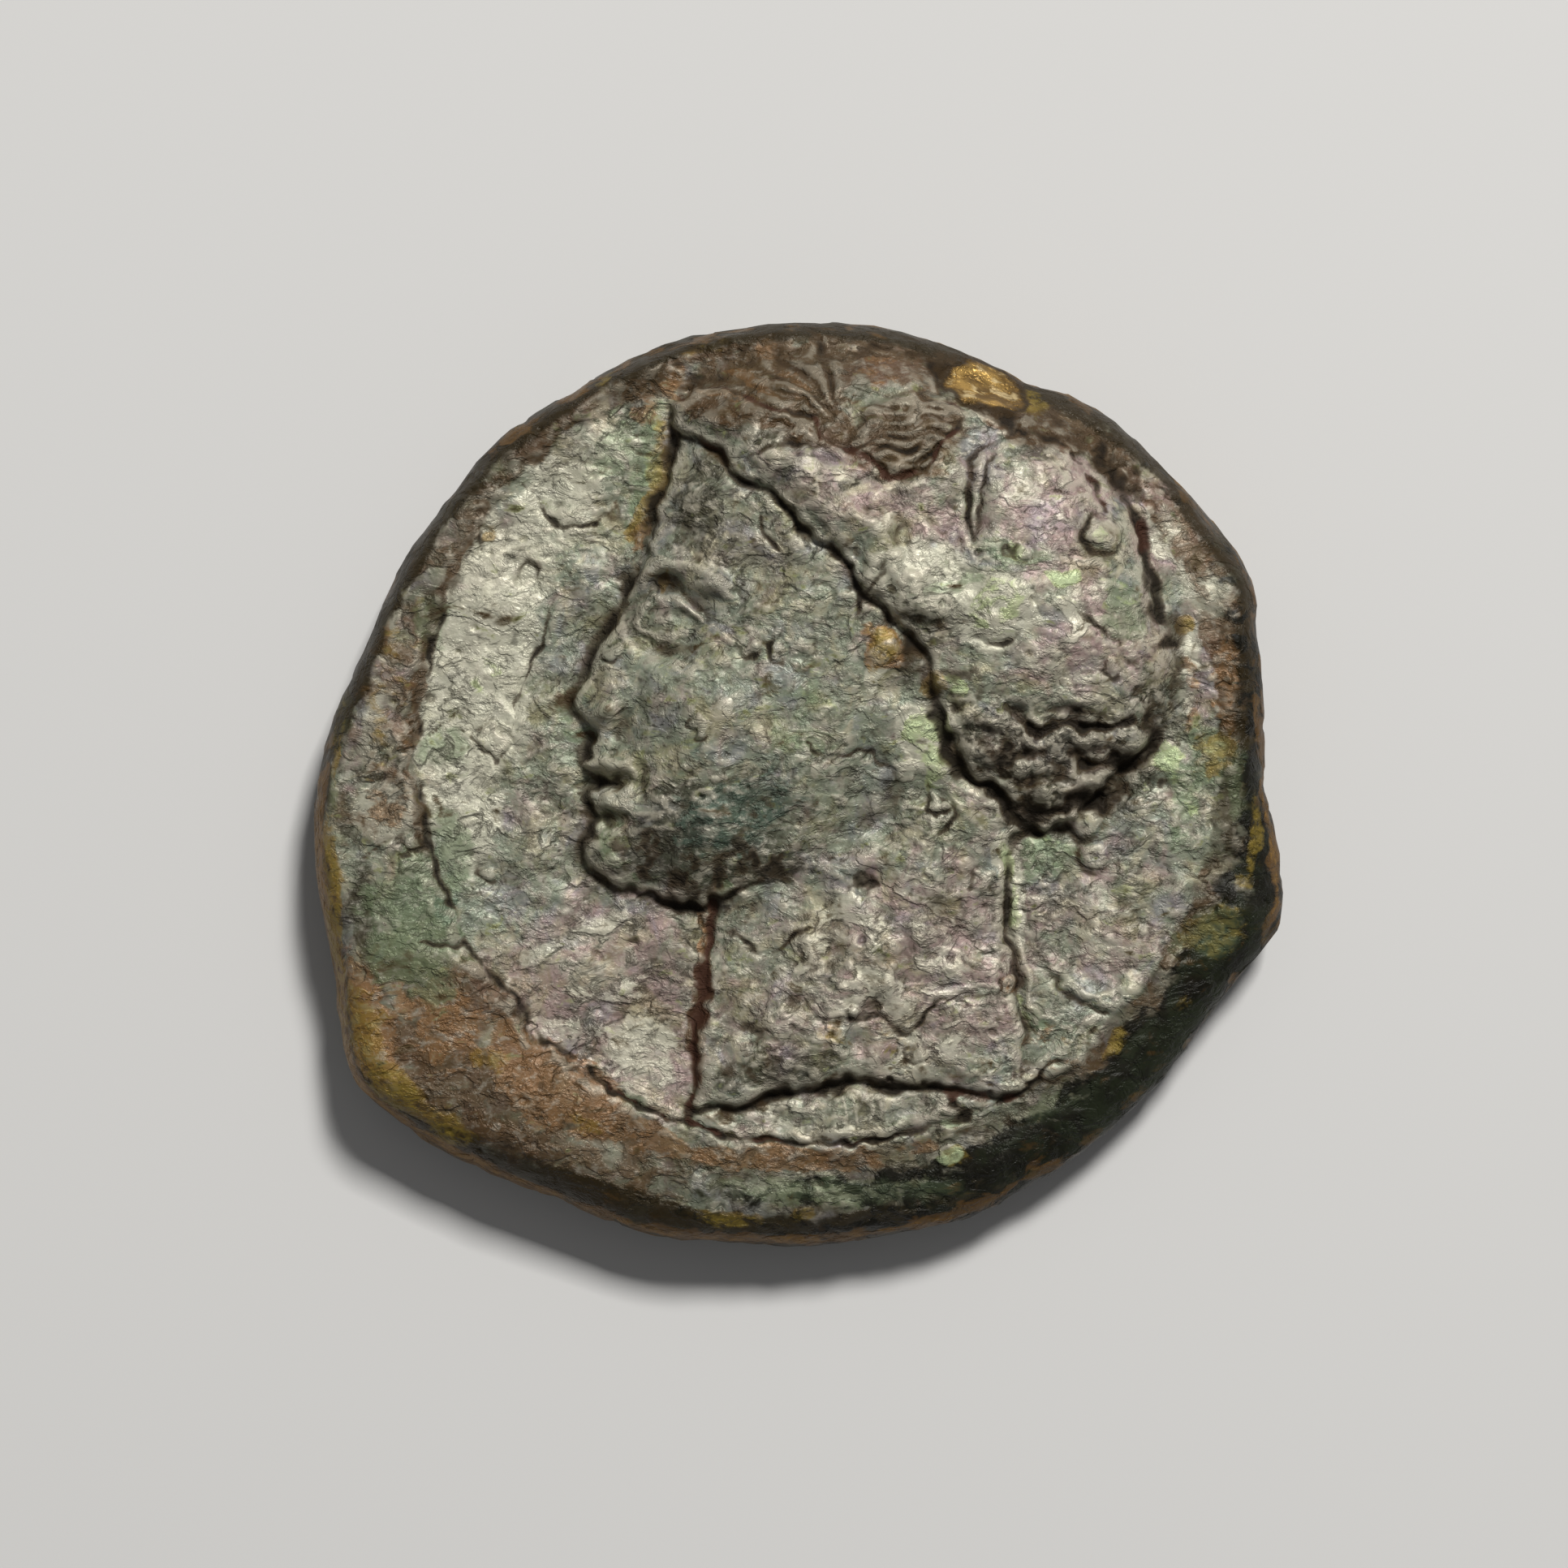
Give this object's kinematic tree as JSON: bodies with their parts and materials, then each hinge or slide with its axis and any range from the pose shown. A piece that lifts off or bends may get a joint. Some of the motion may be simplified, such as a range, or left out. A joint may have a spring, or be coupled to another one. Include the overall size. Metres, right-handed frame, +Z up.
{
  "type": "ancient bronze coin",
  "caption": "Thick worn bronze coin with an uneven edge, a helmeted head in profile on one side and a star between two dolphins on the other.",
  "frame": {"origin": "centre of the coin's box, on the plane that the coin rests on", "axes": "+Z up out of the head side, +Y from the neck to the crown of the head, +X from the nose to the back of the head"},
  "size_m": [0.0192, 0.0184, 0.0039],
  "materials": {
    "patinated_bronze": "matt brown and grey-green patina over cast and struck bronze, darker in its hollows, ochre where the metal shows at the edge"
  },
  "bodies": {
    "root": {"coin": "patinated_bronze"}
  },
  "joints": []
}
